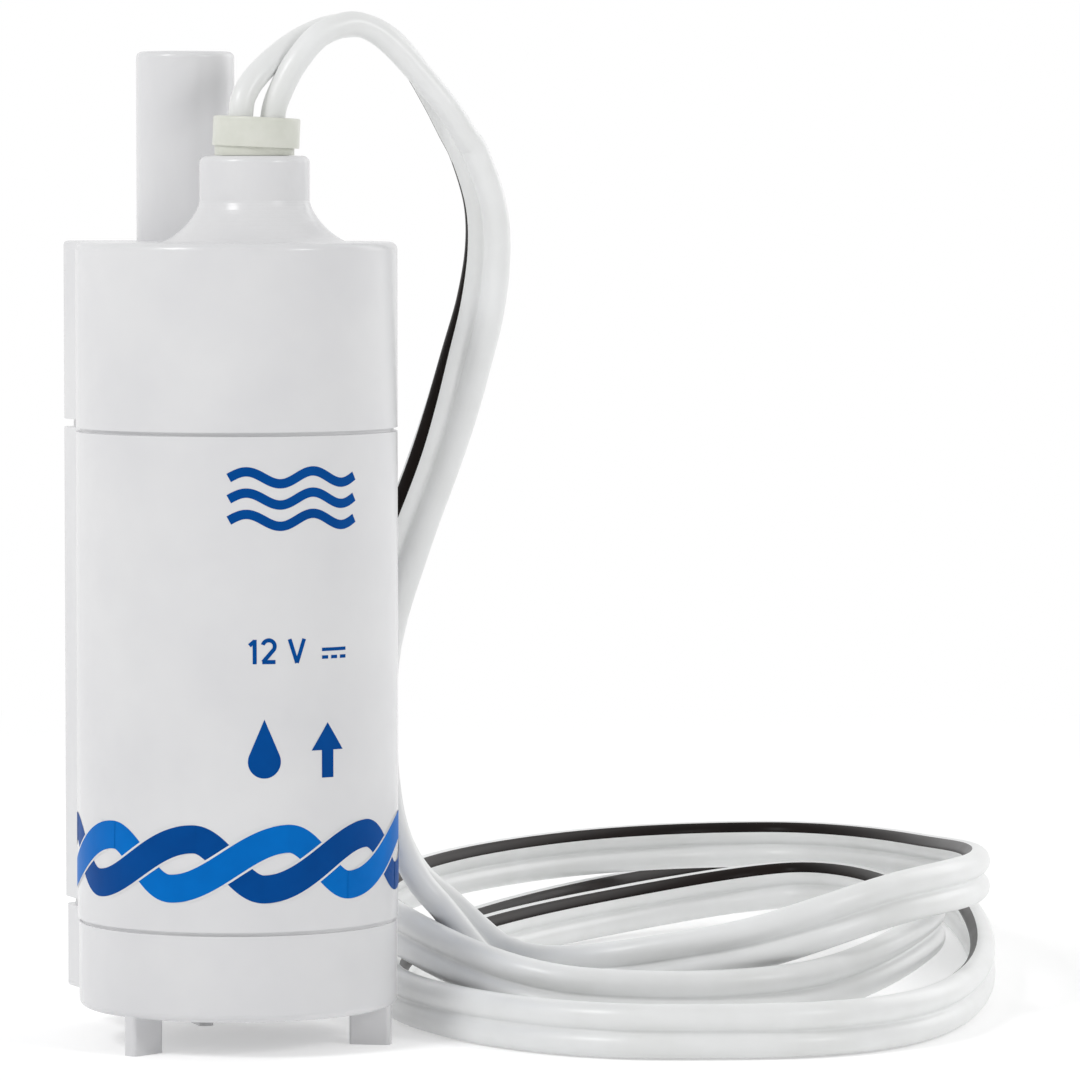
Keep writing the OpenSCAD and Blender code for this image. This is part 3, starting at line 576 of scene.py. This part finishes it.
def bandTree(unit):
    tree = bpy.data.node_groups.new("twistBand", "GeometryNodeTree")
    face = tree.interface
    face.new_socket("Geometry", in_out="INPUT", socket_type="NodeSocketGeometry")
    count = face.new_socket("Half turns", in_out="INPUT", socket_type="NodeSocketInt")
    pitch = face.new_socket("Half pitch angle", in_out="INPUT", socket_type="NodeSocketFloat")
    first = face.new_socket("First angle", in_out="INPUT", socket_type="NodeSocketFloat")
    face.new_socket("Geometry", in_out="OUTPUT", socket_type="NodeSocketGeometry")
    inputs = addNode(tree, "NodeGroupInput")
    info = addNode(tree, "GeometryNodeObjectInfo", {"transform_space": "ORIGINAL", "Object": unit})
    points = addNode(tree, "GeometryNodeMeshLine", {"mode": "OFFSET", "Offset": (0, 0, 0)},
                     {"Count": inputs.outputs["Half turns"]})
    index = addNode(tree, "GeometryNodeInputIndex")
    angle = addNode(tree, "ShaderNodeMath", {"operation": "MULTIPLY_ADD"},
                    {0: index.outputs[0], 1: inputs.outputs["Half pitch angle"],
                     2: inputs.outputs["First angle"]})
    spin = addNode(tree, "ShaderNodeCombineXYZ", None, {"Z": angle.outputs[0]})
    parity = addNode(tree, "ShaderNodeMath", {"operation": "MODULO", 1: 2.0}, {0: index.outputs[0]})
    marked = addNode(tree, "GeometryNodeStoreNamedAttribute",
                     {"data_type": "INT", "domain": "POINT", "Name": "swap"},
                     {"Geometry": points.outputs[0], "Value": parity.outputs[0]})
    copies = addNode(tree, "GeometryNodeInstanceOnPoints", None,
                     {"Points": marked.outputs[0], "Instance": info.outputs["Geometry"],
                      "Rotation": spin.outputs[0]})
    real = addNode(tree, "GeometryNodeRealizeInstances", None, {"Geometry": copies.outputs[0]})
    tone = addNode(tree, "GeometryNodeInputNamedAttribute", {"data_type": "INT", "Name": "tone"})
    swap = addNode(tree, "GeometryNodeInputNamedAttribute", {"data_type": "INT", "Name": "swap"})
    total = addNode(tree, "ShaderNodeMath", {"operation": "ADD"}, {0: tone.outputs[0], 1: swap.outputs[0]})
    odd = addNode(tree, "ShaderNodeMath", {"operation": "MODULO", 1: 2.0}, {0: total.outputs[0]})
    isOutline = addNode(tree, "ShaderNodeMath", {"operation": "GREATER_THAN", 1: 1.5}, {0: tone.outputs[0]})
    last = addNode(tree, "GeometryNodeSetMaterial", {"Material": inkDark}, {"Geometry": real.outputs[0]})
    for mat, test in ((inkMid, odd), (caseWhite, isOutline)):
        last = addNode(tree, "GeometryNodeSetMaterial", {"Material": mat},
                       {"Geometry": last.outputs[0], "Selection": test.outputs[0]})
    addNode(tree, "NodeGroupOutput", None, {0: last.outputs[0]})
    return tree, count.identifier, pitch.identifier, first.identifier


def bakedMesh(obj, name):
    # turns a piece with modifiers into a plain mesh object
    deps = bpy.context.evaluated_depsgraph_get()
    mesh = bpy.data.meshes.new_from_object(obj.evaluated_get(deps))
    mesh.name = name
    out = bpy.data.objects.new(name, mesh)
    bpy.context.collection.objects.link(out)
    bpy.data.objects.remove(obj, do_unlink=True)
    return out


def atEnd(face, sign, plan):
    # whether a face lies round the side or behind, on one end of the band or just past the middle
    mid = face.calc_center_median()
    aside = math.atan2(sign * mid.x, -mid.y) > plan["sideAngle"]
    return aside or mid.y > 0 and sign * mid.x > -plan["pastMiddleMm"] * mm


def trimBand(mesh, plan):
    # cuts both ends square where the print stops beside the duct
    reach = math.radians(plan["endAngle"])
    bm = bmesh.new()
    bm.from_mesh(mesh)
    for sign in (-1, 1):
        ends = [f for f in bm.faces if atEnd(f, sign, plan)]
        geom = {e for f in ends for e in f.edges} | {v for f in ends for v in f.verts} | set(ends)
        normal = (sign * math.cos(reach), math.sin(reach), 0)
        bmesh.ops.bisect_plane(bm, geom=list(geom), plane_co=(0, 0, 0), plane_no=normal, clear_outer=True)
    bm.to_mesh(mesh)
    bm.free()


def makeBand(plan):
    unit = bandUnit(plan)
    tree, count, pitch, first = bandTree(unit)
    host = meshObject("bandHost", [(0, 0, 0)], [], [])
    mod = host.modifiers.new("twist", "NODES")
    mod.node_group = tree
    half = plan["pitch"] / 2 / printPlan["radius"]
    mod[count] = plan["halfTurns"]
    mod[pitch] = half
    mod[first] = (plan["crest"] - plan["rise"]) / printPlan["radius"] - half * plan["before"]
    band = bakedMesh(host, "twistBand")
    trimBand(band.data, plan)
    bpy.data.objects.remove(unit, do_unlink=True)
    for poly in band.data.polygons:
        poly.use_smooth = True
    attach(band, "casing")
    print("twist band", len(band.data.polygons), "faces")


makeBand(bandPlan)


# plain marks above the band: water, supply voltage and the way the water goes
markPlan = {"layer": 0, "cut": 0.5,
            "waves": {"z": (71.7, 69.1, 66.5), "length": 17.0, "swing": 0.75, "pitch": 8.5, "width": 1.15,
                      "samples": 120},
            "rating": {"height": 3.0, "z": 48.9, "s": -6.1, "line": 0.5, "samples": 24},
            "direct": {"s": 5.2, "z": 50.7, "width": 3.6, "line": 0.42, "gap": 0.95},
            "drop": {"s": -4.2, "z": 36.9, "r": 2.05, "tip": 5.2, "samples": 40},
            "arrow": {"s": 4.2, "z": 36.9, "half": 2.3, "stem": 0.85, "low": -2.2, "neck": 1.2, "tip": 4.6}}


def flatMesh(outlines):
    # filled flat shapes from closed outlines
    bm = bmesh.new()
    for outline in outlines:
        bm.faces.new([bm.verts.new((a, b, 0)) for a, b in outline])
    return bm


def dropOutline(plan):
    # round below, drawn up to a point
    r, tip = plan["r"], plan["tip"]
    lean = math.acos(r / tip)
    start, stop = math.pi / 2 + lean, math.pi / 2 - lean + 2 * math.pi
    n = plan["samples"]
    angles = [start + (stop - start) * i / n for i in range(n + 1)]
    pts = [(r * math.cos(a), r * math.sin(a)) for a in angles] + [(0.0, tip)]
    return [(plan["s"] + a, plan["z"] + b) for a, b in pts]


def arrowOutline(plan):
    half, stem = plan["half"], plan["stem"]
    pts = [(-stem, plan["low"]), (stem, plan["low"]), (stem, plan["neck"]), (half, plan["neck"]),
           (0, plan["tip"]), (-half, plan["neck"]), (-stem, plan["neck"])]
    return [(plan["s"] + a, plan["z"] + b) for a, b in pts]


def bar(s0, s1, z0, z1):
    return [(s0, z0), (s1, z0), (s1, z1), (s0, z1)]


def directOutlines(plan):
    # one long line over three short ones
    s, z, w, t = plan["s"], plan["z"], plan["width"], plan["line"]
    dash, top = w / 4, z - plan["gap"]
    starts = [s - w / 2 + i * 1.5 * dash for i in range(3)]
    low = [bar(start, start + dash, top - t, top) for start in starts]
    return [bar(s - w / 2, s + w / 2, z - t, z)] + low


def ratingLines(plan):
    # the rating as single strokes, in parts of its height: a one, a two and a V
    n = plan["samples"]
    arc = [math.radians(165 - 195 * i / n) for i in range(n + 1)]
    two = [(0.82 + 0.25 * math.cos(a), 0.72 + 0.25 * math.sin(a)) for a in arc] + [(0.58, 0.08)]
    strokes = [[(0.02, 0.76), (0.24, 0.94)], [(0.24, 1.0), (0.24, 0.0)], two, [(0.55, 0.08), (1.1, 0.08)],
               [(1.7, 1.0), (2.02, 0.02)], [(2.02, 0.02), (2.34, 1.0)]]
    h = plan["height"]
    return [[(plan["s"] + a * h, plan["z"] + b * h) for a, b in stroke] for stroke in strokes]


def fineLine(line, step=0.4):
    # splits a line so that it bends with the housing
    out = []
    for a, b in zip(line, line[1:]):
        n = max(1, math.ceil(math.dist(a, b) / step))
        out += [(a[0] + (b[0] - a[0]) * i / n, a[1] + (b[1] - a[1]) * i / n) for i in range(n)]
    return out + [line[-1]]


def wrapFlat(bm, plan):
    # cuts the flat shape into upright slices so that it can bend, then lays it on the housing
    low = min(v.co.x for v in bm.verts)
    high = max(v.co.x for v in bm.verts)
    for i in range(1, int((high - low) / plan["cut"]) + 1):
        geom = bm.verts[:] + bm.edges[:] + bm.faces[:]
        bmesh.ops.bisect_plane(bm, geom=geom, plane_co=(low + i * plan["cut"], 0, 0), plane_no=(1, 0, 0))
    for v in bm.verts:
        v.co = wrapped(v.co.x, v.co.y, plan["layer"])
    verts = [v.co.copy() for v in bm.verts]
    bm.verts.index_update()
    faces = [tuple(v.index for v in f.verts) for f in bm.faces]
    bm.free()
    return verts, faces


def makeMarks(plan):
    sheets = []
    wave = plan["waves"]
    steps = wave["samples"]
    for z in wave["z"]:
        line = []
        for i in range(steps + 1):
            a = wave["length"] * (i / steps - 0.5)
            line.append((a, z + wave["swing"] * math.sin(2 * math.pi * a / wave["pitch"])))
        sheets.append(ribbon(line, wave["width"], plan["layer"]))
    for line in ratingLines(plan["rating"]):
        sheets.append(ribbon(fineLine(line), plan["rating"]["line"], plan["layer"]))
    sheets.append(wrapFlat(flatMesh(directOutlines(plan["direct"])), plan))
    sheets.append(wrapFlat(flatMesh([dropOutline(plan["drop"])]), plan))
    sheets.append(wrapFlat(flatMesh([arrowOutline(plan["arrow"])]), plan))
    verts, faces = [], []
    for v, f in sheets:
        base = len(verts)
        verts.extend(v)
        faces.extend(tuple(base + k for k in face) for face in f)
    marks = meshObject("plainMarks", verts, faces, [inkDark])
    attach(marks, "casing")
    print("marks laid on")


makeMarks(markPlan)


# lights and floor: a soft lamp front left, weaker ones on the right in front and behind, and a pale
# floor that runs out to white; glow is the floor's own light to the eye, bounce what it adds to the part
stagePlan = {"floor": ("F2F2F2", "F4F4F4"), "mottleMm": 40, "glow": 0.3, "bounce": 0.16, "reach": 40.0,
             "fadeFrom": (50, 60, 0), "fade": (0.16, 0.45), "front": 0.33, "back": 0.92, "aim": (20, 20, 50),
             "key": {"at": (-620, -560, 720), "size": 0.35, "watts": 3.3},
             "fill": {"at": (620, -480, 420), "size": 0.15, "watts": 0.85},
             "rim": {"at": (520, 420, 330), "size": 0.5, "watts": 0.8}}


def makeFloor(plan):
    mat, tree = newMaterial("paleSeamlessPaper")
    paper = mottle(tree, plan["mottleMm"], 2.0)
    tone = ramp(tree, paper.outputs["Fac"], *(linear(t) for t in plan["floor"]))
    matte = addNode(tree, "ShaderNodeBsdfDiffuse", {"Roughness": 0.5}, {"Color": tone.outputs["Color"]})
    seen = plainlySeen(tree)
    level = addNode(tree, "ShaderNodeMapRange", {"To Min": plan["bounce"], "To Max": plan["glow"]},
                    {"Value": seen})
    glow = addNode(tree, "ShaderNodeEmission", {"Color": (1, 1, 1, 1)}, {"Strength": level.outputs[0]})
    both = addNode(tree, "ShaderNodeAddShader", None, {0: matte.outputs[0], 1: glow.outputs[0]})
    # away from the object the paper runs out to plain white for the camera
    coord = addNode(tree, "ShaderNodeTexCoord")
    away = addNode(tree, "ShaderNodeVectorMath", {"operation": "DISTANCE", 1: turned(plan["fadeFrom"])},
                   {0: coord.outputs["Object"]})
    near, far = plan["fade"]
    fade = addNode(tree, "ShaderNodeMapRange",
                   {"interpolation_type": "SMOOTHSTEP", "From Min": near, "From Max": far},
                   {"Value": away.outputs["Value"]})
    share = addNode(tree, "ShaderNodeMath", {"operation": "MULTIPLY"}, {0: fade.outputs[0], 1: seen})
    white = addNode(tree, "ShaderNodeEmission", {"Color": (1, 1, 1, 1), "Strength": 1.0})
    paperMix = addNode(tree, "ShaderNodeMixShader", None,
                       {0: share.outputs[0], 1: both.outputs[0], 2: white.outputs[0]})
    finishMaterial(tree, paperMix)
    half = plan["reach"]
    floor = meshObject("paperFloor", [(-half, -half, 0), (half, -half, 0), (half, half, 0), (-half, half, 0)],
                       [(0, 1, 2, 3)], [mat], smooth=False)


def makeRoom(plan):
    world = bpy.data.worlds.new("softRoom")
    bpy.context.scene.world = world
    world.use_nodes = True
    wt = world.node_tree
    wt.nodes.clear()
    seen = plainlySeen(wt)
    # the room is brighter behind the pump than on the printed side
    coord = addNode(wt, "ShaderNodeTexCoord")
    behind = turned((0, 1, 0)).normalized()
    depth = addNode(wt, "ShaderNodeVectorMath", {"operation": "DOT_PRODUCT", 1: behind},
                    {0: coord.outputs["Generated"]})
    room = addNode(wt, "ShaderNodeMapRange",
                   {"From Min": -1.0, "To Min": plan["front"], "To Max": plan["back"]},
                   {"Value": depth.outputs["Value"]})
    level = addNode(wt, "ShaderNodeMath", {"operation": "MAXIMUM"}, {0: room.outputs[0], 1: seen})
    sky = addNode(wt, "ShaderNodeBackground", {"Color": (1, 1, 1, 1)}, {"Strength": level.outputs[0]})
    out = wt.nodes.new("ShaderNodeOutputWorld")
    wt.links.new(sky.outputs[0], out.inputs["Surface"])


def makeLamps(plan):
    for name in ("key", "fill", "rim"):
        lamp = plan[name]
        data = bpy.data.lights.new(name + "Lamp", "AREA")
        data.shape, data.size, data.energy = "DISK", lamp["size"], lamp["watts"]
        obj = bpy.data.objects.new(name + "Lamp", data)
        bpy.context.collection.objects.link(obj)
        obj.location = turned(lamp["at"])
        obj.rotation_mode = "QUATERNION"
        obj.rotation_quaternion = (turned(plan["aim"]) - obj.location).to_track_quat("-Z", "Y")


makeFloor(stagePlan)
makeRoom(stagePlan)
makeLamps(stagePlan)
bpy.context.scene.view_settings.view_transform = "Standard"
print("stage lit")
